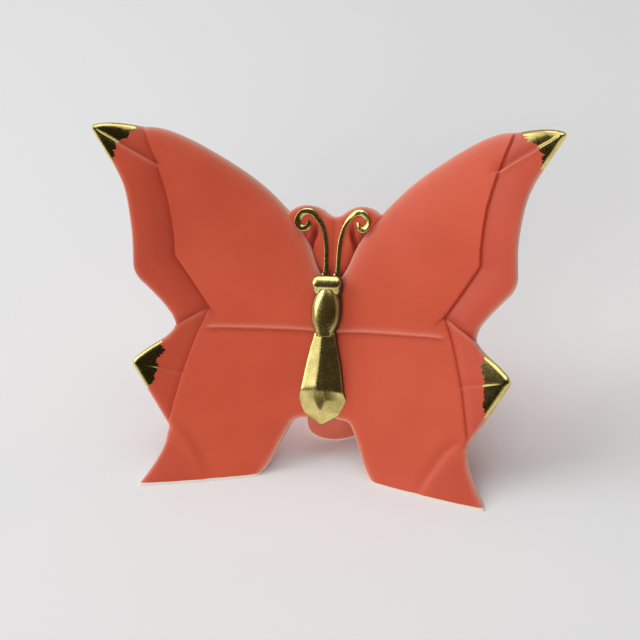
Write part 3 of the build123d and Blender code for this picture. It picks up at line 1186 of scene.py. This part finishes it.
class BarTree:
    """Geometry node tree that sweeps a raised round bar along a curve."""

    def __init__(self) -> None:
        """Build the tree with its named inputs."""
        self.tree = bpy.data.node_groups.new("raised_bar", "GeometryNodeTree")
        for label, kind, way in (
            ("Geometry", "NodeSocketGeometry", "INPUT"), ("Bar Radius", "NodeSocketFloat", "INPUT"),
            ("Sides", "NodeSocketInt", "INPUT"), ("Finish", "NodeSocketMaterial", "INPUT"),
            ("Geometry", "NodeSocketGeometry", "OUTPUT"),
        ):
            self.tree.interface.new_socket(label, in_out=way, socket_type=kind)
        nodes, links = self.tree.nodes, self.tree.links
        given, out = nodes.new("NodeGroupInput"), nodes.new("NodeGroupOutput")
        ring, sweep = nodes.new("GeometryNodeCurvePrimitiveCircle"), nodes.new("GeometryNodeCurveToMesh")
        radius = nodes.new("GeometryNodeInputRadius")
        real, dress = nodes.new("GeometryNodeRealizeInstances"), nodes.new("GeometryNodeSetMaterial")
        sweep.inputs["Fill Caps"].default_value = True
        links.new(given.outputs["Bar Radius"], ring.inputs["Radius"])
        links.new(given.outputs["Sides"], ring.inputs["Resolution"])
        links.new(given.outputs["Geometry"], sweep.inputs["Curve"])
        links.new(ring.outputs["Curve"], sweep.inputs["Profile Curve"])
        links.new(radius.outputs["Radius"], sweep.inputs["Scale"])
        links.new(sweep.outputs["Mesh"], real.inputs["Geometry"])
        links.new(real.outputs["Geometry"], dress.inputs["Geometry"])
        links.new(given.outputs["Finish"], dress.inputs["Material"])
        links.new(dress.outputs["Geometry"], out.inputs["Geometry"])

    def sweep(
        self, curve: bpy.types.Object, radius: float, sides: int, finish: bpy.types.Material,
    ) -> bpy.types.Mesh:
        """Sweep the bar and return it as a plain mesh.

        Args:
            curve: The path.
            radius: Bar radius in metres where the path's own radius is one.
            sides: Sides of the bar.
            finish: Material of the bar.

        Returns:
            The swept mesh.
        """
        modifier = curve.modifiers.new("bar", "NODES")
        modifier.node_group = self.tree
        sockets = [item for item in self.tree.interface.items_tree if item.in_out == "INPUT"]
        given = {socket.name: socket.identifier for socket in sockets}
        modifier[given["Bar Radius"]] = radius
        modifier[given["Sides"]] = sides
        modifier[given["Finish"]] = finish
        graph = bpy.context.evaluated_depsgraph_get()
        mesh = bpy.data.meshes.new_from_object(curve.evaluated_get(graph))
        curve.modifiers.remove(modifier)
        return mesh


@dataclass
class Antenna:
    """Gilded antenna: a raised bar on the crest that ends in a curl."""

    side: Side
    lift: float = 0.36
    radius: float = 0.72
    flatness: float = 0.34
    tilt: float = 0.5
    curl_from: float = 0.045
    samples: int = 160
    sides: int = 20
    sharp: float = 60.0
    path: tuple[tuple[float, float, float], ...] = (
        (0.026, 0.545, 1.15), (0.026, 0.580, 1.0), (0.027, 0.620, 0.98), (0.032, 0.665, 0.98),
        (0.046, 0.706, 1.0), (0.070, 0.738, 1.15), (0.099, 0.757, 1.3), (0.127, 0.755, 1.4),
        (0.148, 0.738, 1.4), (0.151, 0.718, 1.35), (0.136, 0.703, 1.3), (0.117, 0.703, 1.25),
        (0.105, 0.715, 1.1), (0.106, 0.727, 0.75),
    )

    def build(self, bars: BarTree, finish: bpy.types.Material) -> bpy.types.Object:
        """Sweep the bar along its curl.

        Args:
            bars: Tree that sweeps bars.
            finish: The gold.

        Returns:
            The finished piece.
        """
        flat = LEAN.flat([(x, y) for x, y, swell in self.path])
        along = chord_lengths(flat)
        where = np.linspace(0, along[-1], self.samples)
        line = CubicLine(along, np.column_stack([flat, [row[2] for row in self.path]])).at(where)
        across, level = line[:, 0], line[:, 1]
        places = LEAN.world(across * self.side.value, level, Crest.face(across, level) + self.lift)
        data = bpy.data.curves.new("antenna_path", "CURVE")
        data.dimensions = "3D"
        spline = data.splines.new("POLY")
        spline.points.add(len(places) - 1)
        for point, place, swell in zip(spline.points, places, line[:, 2]):
            point.co = (*place, 1.0)
            point.radius = swell
        curve = bpy.data.objects.new("antenna_path", data)
        bpy.context.scene.collection.objects.link(curve)
        mesh = bars.sweep(curve, self.radius * MM, self.sides, finish)
        bpy.data.objects.remove(curve)
        self.flatten(mesh, line[:, :2])
        name = f"{self.side.word}_antenna_curl"
        mesh.name = name
        piece = bpy.data.objects.new(name, mesh)
        bpy.context.scene.collection.objects.link(piece)
        shade(piece, self.sharp)
        return enlist(piece, Slot.GOLD, f"{self.side.word}_antenna")

    def flatten(self, mesh: bpy.types.Mesh, line: np.ndarray) -> None:
        """Press the round bar flatter towards the crest and turn its curl to face inwards.

        Args:
            mesh: The swept bar.
            line: Middle line of the bar on the flat wing.
        """
        places = np.array([v.co for v in mesh.vertices])
        across, level, front = LEAN.local(places)
        away = np.abs(across)
        flat = np.stack([away, level], axis=1)
        nearest = np.linalg.norm(flat[:, None] - line[None], axis=2).argmin(1)
        curl = np.clip(line[nearest, 0] / LEAN.half_span / self.curl_from - 1, 0, 1)
        middle = Crest.face(away, level) + self.lift
        raised = middle + (front - middle) * self.flatness + self.tilt * curl * (away - line[nearest, 0])
        mesh.vertices.foreach_set("co", LEAN.world(across, level, raised).ravel())


class Nodes:
    """Short hand for filling a shader node tree."""

    def __init__(self, tree: bpy.types.NodeTree) -> None:
        """Keep the tree."""
        self.tree = tree

    def add(self, kind: str, inputs: dict | None = None, **settings) -> bpy.types.Node:
        """Add a node, set its properties, and set or link its inputs."""
        node = self.tree.nodes.new(kind)
        for key, value in settings.items():
            setattr(node, key, value)
        for key, value in (inputs or {}).items():
            if isinstance(value, bpy.types.NodeSocket):
                self.tree.links.new(value, node.inputs[key])
            else:
                node.inputs[key].default_value = value
        return node

    def math(self, operation: str, first: object, second: object) -> bpy.types.NodeSocket:
        """Return the outcome of a sum on two values or sockets."""
        return self.add("ShaderNodeMath", {0: first, 1: second}, operation=operation).outputs[0]

    def mix(self, factor: object, low: object, high: object) -> bpy.types.NodeSocket:
        """Return a blend of two colours."""
        node = self.add("ShaderNodeMix", {0: factor, 6: low, 7: high}, data_type="RGBA")
        return node.outputs[2]

    def blend(self, factor: object, low: object, high: object) -> bpy.types.NodeSocket:
        """Return a blend of two values."""
        return self.add("ShaderNodeMix", {0: factor, 2: low, 3: high}, data_type="FLOAT").outputs[0]

    def ramp(self, value: object, low: float, high: float) -> bpy.types.NodeSocket:
        """Return a value stretched from low..high to zero..one, softened at both ends."""
        given = {"Value": value, "From Min": low, "From Max": high}
        return self.add("ShaderNodeMapRange", given, interpolation_type="SMOOTHSTEP").outputs[0]

    def noise(self, place: object, scale: float, detail: float = 2.0) -> bpy.types.NodeSocket:
        """Return cloudy noise over a place."""
        given = {"Vector": place, "Scale": scale, "Detail": detail}
        return self.add("ShaderNodeTexNoise", given).outputs["Fac"]

    def sway(self, place: object, scale: float, detail: float, reach: float) -> bpy.types.NodeSocket:
        """Return noise that swings about zero, with a reach from lowest to highest."""
        return self.math("MULTIPLY", self.math("SUBTRACT", self.noise(place, scale, detail), 0.5), reach)

    def value(self, name: str) -> bpy.types.NodeSocket:
        """Return a number stored on the vertices."""
        return self.add("ShaderNodeAttribute", attribute_name=name).outputs["Fac"]


def surface_group(
    name: str, inputs: Sequence[tuple[str, str, object]], outputs: Sequence[tuple[str, str]],
) -> Nodes:
    """Start a shader node group with named sockets.

    Args:
        name: Name of the group.
        inputs: Name, kind and default of each input.
        outputs: Name and kind of each output.

    Returns:
        The group's tree, ready to fill.
    """
    tree = bpy.data.node_groups.new(name, "ShaderNodeTree")
    for label, kind, start in inputs:
        socket = tree.interface.new_socket(label, in_out="INPUT", socket_type=kind)
        if start is not None:
            socket.default_value = start
    for label, kind in outputs:
        tree.interface.new_socket(label, in_out="OUTPUT", socket_type=kind)
    return Nodes(tree)


def glaze_cloud_group() -> bpy.types.NodeTree:
    """Cloudy depth of a glaze: slow mottling, fine specks and a faint orange peel."""
    group = surface_group(
        "glaze_cloud",
        (
            ("Place", "NodeSocketVector", None),
            ("Cloud Size", "NodeSocketFloat", 60.0),
            ("Speck Size", "NodeSocketFloat", 1400.0),
        ),
        (("Cloud", "NodeSocketFloat"), ("Speck", "NodeSocketFloat"), ("Peel", "NodeSocketFloat")),
    )
    given = group.add("NodeGroupInput")
    place = given.outputs["Place"]
    cloud = group.noise(place, given.outputs["Cloud Size"], 3.0)
    dots = group.noise(place, given.outputs["Speck Size"], 1.0)
    speck = group.ramp(dots, 0.72, 0.8)
    peel = group.noise(place, 700.0, 2.0)
    group.add("NodeGroupOutput", {"Cloud": cloud, "Speck": speck, "Peel": peel})
    return group.tree


def gold_grain_group() -> bpy.types.NodeTree:
    """Brushed lustre: fine grain, brush streaks and darker worn patches."""
    group = surface_group(
        "gold_grain",
        (("Place", "NodeSocketVector", None), ("Grain Size", "NodeSocketFloat", 5200.0)),
        (("Grain", "NodeSocketFloat"), ("Patch", "NodeSocketFloat")),
    )
    given = group.add("NodeGroupInput")
    place = given.outputs["Place"]
    streaked = group.add("ShaderNodeMapping", {"Vector": place, "Scale": (1.0, 1.0, 0.35)}).outputs[0]
    fine = group.noise(place, given.outputs["Grain Size"], 3.0)
    grain = group.math("ADD", fine, group.noise(streaked, 3200.0, 2.0))
    patch = group.noise(place, 260.0, 3.0)
    group.add("NodeGroupOutput", {"Grain": group.math("MULTIPLY", grain, 0.5), "Patch": patch})
    return group.tree


@dataclass(frozen=True)
class GoldLustre:
    """Burnished gold lustre over porcelain, painted dark where it turns towards its seat (painted shade)."""

    light: tuple[float, float, float, float] = (0.93, 0.80, 0.32, 1.0)
    deep: tuple[float, float, float, float] = (0.76, 0.61, 0.20, 1.0)
    # Painted shade: near-black gold where a piece turns towards its seat
    painted_shade: tuple[float, float, float, float] = (0.024, 0.011, 0.004, 1.0)
    painted_shade_rough: float = 0.6
    painted_shade_share: float = 0.96
    patch_range: tuple[float, float] = (0.3, 0.7)
    grain_range: tuple[float, float] = (0.35, 0.65)
    rough_low: float = 0.2
    rough_high: float = 0.32
    grain_height: float = 0.000018
    bump: float = 0.1

    def colour(self, nodes: Nodes, patch: bpy.types.NodeSocket) -> bpy.types.NodeSocket:
        """Return the gold's colour."""
        return nodes.mix(nodes.ramp(patch, *self.patch_range), self.deep, self.light)

    def roughness(self, nodes: Nodes, grain: bpy.types.NodeSocket) -> bpy.types.NodeSocket:
        """Return the gold's roughness."""
        return nodes.blend(nodes.ramp(grain, *self.grain_range), self.rough_low, self.rough_high)

    def bumped(self, nodes: Nodes, height: bpy.types.NodeSocket) -> bpy.types.NodeSocket:
        """Return the normal of a surface with a fine grain."""
        given = {"Height": height, "Distance": self.grain_height, "Strength": self.bump}
        return nodes.add("ShaderNodeBump", given).outputs[0]

    def material(self, grain_group: bpy.types.NodeTree) -> bpy.types.Material:
        """Build the material of the gilded pieces."""
        made = bpy.data.materials.new("gold_lustre")
        made.use_nodes = True
        nodes = Nodes(made.node_tree)
        shader = made.node_tree.nodes["Principled BSDF"]
        place = nodes.add("ShaderNodeTexCoord").outputs["Object"]
        grain = nodes.add("ShaderNodeGroup", node_tree=grain_group)
        nodes.tree.links.new(place, grain.inputs["Place"])
        link = nodes.tree.links.new
        # Painted shade: where 'seat' is high the gold is painted near black, rough and not metallic
        shaded = nodes.math("MULTIPLY", nodes.value("seat"), self.painted_shade_share)
        bright = self.colour(nodes, grain.outputs["Patch"])
        link(nodes.mix(shaded, bright, self.painted_shade), shader.inputs["Base Color"])
        rough = self.roughness(nodes, grain.outputs["Grain"])
        link(nodes.blend(shaded, rough, self.painted_shade_rough), shader.inputs["Roughness"])
        link(nodes.math("SUBTRACT", 1.0, shaded), shader.inputs["Metallic"])
        link(self.bumped(nodes, grain.outputs["Grain"]), shader.inputs["Normal"])
        return made


@dataclass(frozen=True)
class CoralGlaze:
    """Satin coral glaze: paler along rims and ridges (thinner glaze and painted highlight), deeper in creases
    (pooled glaze and painted shade) and on the outer panels (painted shade), bare at the foot.
    """

    coral: tuple[float, float, float, float] = (0.66, 0.100, 0.048, 1.0)
    cloud: tuple[float, float, float, float] = (0.62, 0.088, 0.041, 1.0)
    # Dark tone of pooled glaze and painted shade, also used for the specks
    pool: tuple[float, float, float, float] = (0.28, 0.024, 0.015, 1.0)
    # Pale tone of thinner glaze and of the painted highlight on rims and ridges
    thin: tuple[float, float, float, float] = (0.93, 0.60, 0.46, 1.0)
    bare: tuple[float, float, float, float] = (0.80, 0.74, 0.66, 1.0)
    tip_face_gold: tuple[float, float, float, float] = (0.36, 0.29, 0.10, 1.0)
    roughness: float = 0.52
    bare_rough: float = 0.75
    gloss: float = 0.45
    cloud_range: tuple[float, float] = (0.3, 0.7)
    rim_highlight_range: tuple[float, float] = (0.01, 0.2)
    pool_share: float = 0.85
    thin_share: float = 0.85
    speck_share: float = 0.25
    border_softness: float = 0.06
    border_wave: tuple[float, float, float] = (420.0, 1.0, 1.8)
    border_bristles: tuple[float, float, float] = (1700.0, 2.0, 2.6)
    bristle_stretch: tuple[float, float, float] = (0.25, 1.0, 1.0)
    bare_wave: tuple[float, float, float] = (260.0, 2.0, 0.0002)
    bare_softness_share: float = 0.08
    bare_height: float = 0.0007
    peel_height: float = 0.00002
    gold: GoldLustre = field(default_factory=GoldLustre)

    def material(
        self, cloud_group: bpy.types.NodeTree, grain_group: bpy.types.NodeTree,
    ) -> bpy.types.Material:
        """Build the material of wings, crest and column.

        Args:
            cloud_group: Cloudy depth of the glaze.
            grain_group: Grain of the gilded tips.

        Returns:
            The material.
        """
        made = bpy.data.materials.new("coral_glaze")
        made.use_nodes = True
        nodes = Nodes(made.node_tree)
        link = nodes.tree.links.new
        shader = made.node_tree.nodes["Principled BSDF"]
        place = nodes.add("ShaderNodeTexCoord").outputs["Object"]
        cloud = nodes.add("ShaderNodeGroup", node_tree=cloud_group)
        grain = nodes.add("ShaderNodeGroup", node_tree=grain_group)
        link(place, cloud.inputs["Place"])
        link(place, grain.inputs["Place"])
        gilded = self.gilded(nodes, place)
        bare = self.bared(nodes, place)
        colour = nodes.mix(nodes.ramp(cloud.outputs["Cloud"], *self.cloud_range), self.coral, self.cloud)
        # Darken with pooled glaze and painted shade, lighten with thinner glaze and painted highlight, then
        # add specks
        for amount, share, tone in (
            (nodes.value("pooled_glaze_and_shade"), self.pool_share, self.pool),
            (nodes.value("thin_glaze"), self.thin_share, self.thin),
            (cloud.outputs["Speck"], self.speck_share, self.pool),
        ):
            colour = nodes.mix(nodes.math("MULTIPLY", amount, share), colour, tone)
        colour = nodes.mix(bare, colour, self.bare)
        # Painted highlight: the gilded tips turn bright gold along the pale rims and stay darker gold on
        # their faces
        rim_highlight_gold = nodes.ramp(nodes.value("thin_glaze"), *self.rim_highlight_range)
        lustre = nodes.mix(rim_highlight_gold, self.tip_face_gold, self.gold.colour(nodes, grain.outputs["Patch"]))
        colour = nodes.mix(gilded, colour, lustre)
        rough = nodes.blend(bare, self.roughness, self.bare_rough)
        rough = nodes.blend(gilded, rough, self.gold.roughness(nodes, grain.outputs["Grain"]))
        link(colour, shader.inputs["Base Color"])
        link(rough, shader.inputs["Roughness"])
        link(gilded, shader.inputs["Metallic"])
        shader.inputs["Specular IOR Level"].default_value = self.gloss
        peel = nodes.math("MULTIPLY", cloud.outputs["Peel"], self.peel_height / self.gold.grain_height)
        height = nodes.blend(gilded, peel, grain.outputs["Grain"])
        link(self.gold.bumped(nodes, height), shader.inputs["Normal"])
        return made

    def gilded(self, nodes: Nodes, place: bpy.types.NodeSocket) -> bpy.types.NodeSocket:
        """Return where gold covers the glaze, with a brushed border."""
        given = {"Vector": place, "Scale": self.bristle_stretch}
        drawn = nodes.add("ShaderNodeMapping", given).outputs[0]
        broad = nodes.sway(place, *self.border_wave)
        fine = nodes.sway(drawn, *self.border_bristles)
        depth = nodes.math("ADD", nodes.value("gilding"), nodes.math("ADD", broad, fine))
        return nodes.ramp(depth, -self.border_softness, self.border_softness)

    def bared(self, nodes: Nodes, place: bpy.types.NodeSocket) -> bpy.types.NodeSocket:
        """Return where the porcelain is bare, just above the floor."""
        height = nodes.add("ShaderNodeSeparateXYZ", {0: place}).outputs["Z"]
        edge = nodes.math("ADD", height, nodes.sway(place, *self.bare_wave))
        soft = self.bare_height * self.bare_softness_share
        return nodes.math("SUBTRACT", 1.0, nodes.ramp(edge, self.bare_height - soft, self.bare_height + soft))


@dataclass(frozen=True)
class SoftBox:
    """A soft box that looks at the butterfly: its place and side in metres, its power in watts."""

    name: str
    place: tuple[float, float, float]
    size: float
    power: float
    mirrored: bool = True
    aim_height: float = 0.045

    def build(self) -> None:
        """Hang the box and turn it to the butterfly."""
        data = bpy.data.lights.new(self.name, "AREA")
        data.size, data.energy = self.size, self.power
        box = bpy.data.objects.new(self.name, data)
        box.location = self.place
        aim = Vector((0, 0, self.aim_height)) - Vector(self.place)
        box.rotation_euler = aim.to_track_quat("-Z", "Y").to_euler()
        box.visible_glossy = self.mirrored
        bpy.context.scene.collection.objects.link(box)


@dataclass
class Studio:
    """Pale floor, soft boxes, surroundings and the camera."""

    azimuth: float = 18.349
    elevation: float = 30.631
    roll: float = -6.926
    distance: float = 0.551
    lens: float = 99.92
    aim_across: float = 0.004376
    aim_up: float = -0.035621
    floor_reach: float = 4.0
    dark_way: tuple[float, float, float] = (0.27, -0.82, 0.50)
    dark_range: tuple[float, float] = (0.14, 0.46)
    bright: tuple[float, float, float, float] = (0.80, 0.80, 0.82, 1.0)
    dark: tuple[float, float, float, float] = (0.085, 0.058, 0.034, 1.0)
    strength: float = 0.375
    boxes: tuple[SoftBox, ...] = (
        SoftBox("top_box", (0.0, 0.35, 1.40), 1.4, 9.5),
        SoftBox("left_box", (-1.15, -0.02, 0.85), 1.2, 10.5),
        SoftBox("front_fill", (0.0, -1.70, 0.40), 1.2, 19.0, mirrored=False),
    )
    paper_tones: tuple[tuple[float, float, float, float], ...] = (
        (0.85, 0.85, 0.855, 1.0), (0.88, 0.88, 0.885, 1.0),
    )
    paper_rough: float = 0.7
    sensor: float = 36.0
    near_clip: float = 0.01

    def build(self) -> None:
        """Set up everything around the butterfly."""
        self.floor()
        self.surroundings()
        for box in self.boxes:
            box.build()
        self.camera()
        bpy.context.scene.view_settings.view_transform = "Standard"

    def floor(self) -> None:
        """Lay the pale floor."""
        reach = self.floor_reach
        paper = bpy.data.materials.new("pale_paper")
        paper.use_nodes = True
        nodes = Nodes(paper.node_tree)
        shader = paper.node_tree.nodes["Principled BSDF"]
        place = nodes.add("ShaderNodeTexCoord").outputs["Object"]
        tone = nodes.mix(nodes.noise(place, 3.0), *self.paper_tones)
        nodes.tree.links.new(tone, shader.inputs["Base Color"])
        shader.inputs["Roughness"].default_value = self.paper_rough
        corners = [(-reach, -reach, 0), (reach, -reach, 0), (reach, reach, 0), (-reach, reach, 0)]
        new_piece("floor", np.array(corners), [(0, 1, 2, 3)], paper)

    def surroundings(self) -> None:
        """Light the surroundings: bright all round, dark on the viewer's side."""
        world = bpy.data.worlds.new("studio")
        bpy.context.scene.world = world
        world.use_nodes = True
        nodes = Nodes(world.node_tree)
        way = nodes.add("ShaderNodeTexCoord").outputs["Generated"]
        given = {0: way, 1: self.dark_way}
        facing = nodes.add("ShaderNodeVectorMath", given, operation="DOT_PRODUCT").outputs["Value"]
        colour = nodes.mix(nodes.ramp(facing, *self.dark_range), self.bright, self.dark)
        ground = world.node_tree.nodes["Background"]
        nodes.tree.links.new(colour, ground.inputs["Color"])
        ground.inputs["Strength"].default_value = self.strength

    def camera(self) -> None:
        """Stand the camera where the picture was taken."""
        around, up, turn = (math.radians(a) for a in (self.azimuth, self.elevation, self.roll))
        ahead = Vector((-math.sin(around) * math.cos(up), math.cos(around) * math.cos(up), -math.sin(up)))
        level = Vector((math.cos(around), math.sin(around), 0))
        over = level.cross(ahead)
        right = level * math.cos(turn) + over * math.sin(turn)
        top = over * math.cos(turn) - level * math.sin(turn)
        data = bpy.data.cameras.new("photo_camera")
        data.lens, data.sensor_width, data.clip_start = self.lens, self.sensor, self.near_clip
        camera = bpy.data.objects.new("photo_camera", data)
        place = -right * self.aim_across - top * self.aim_up - ahead * self.distance
        rows = [(right[i], top[i], -ahead[i], place[i]) for i in range(3)]
        camera.matrix_world = Matrix((*rows, (0, 0, 0, 1)))
        bpy.context.scene.collection.objects.link(camera)
        bpy.context.scene.camera = camera


def main() -> None:
    """Dress the butterfly and set up the studio."""
    logging.basicConfig(level=logging.INFO, format="%(name)s: %(message)s")
    clouds, grains = glaze_cloud_group(), gold_grain_group()
    glaze = CoralGlaze().material(clouds, grains)
    gold = GoldLustre().material(grains)
    make_wings(glaze)
    Crest().build(glaze)
    Column().build(glaze)
    Abdomen().build(gold)
    Thorax().build(gold)
    Head().build(gold)
    bars = BarTree()
    for side in Side:
        Antenna(side).build(bars, gold)
    Studio().build()


if __name__ == "__main__":
    main()
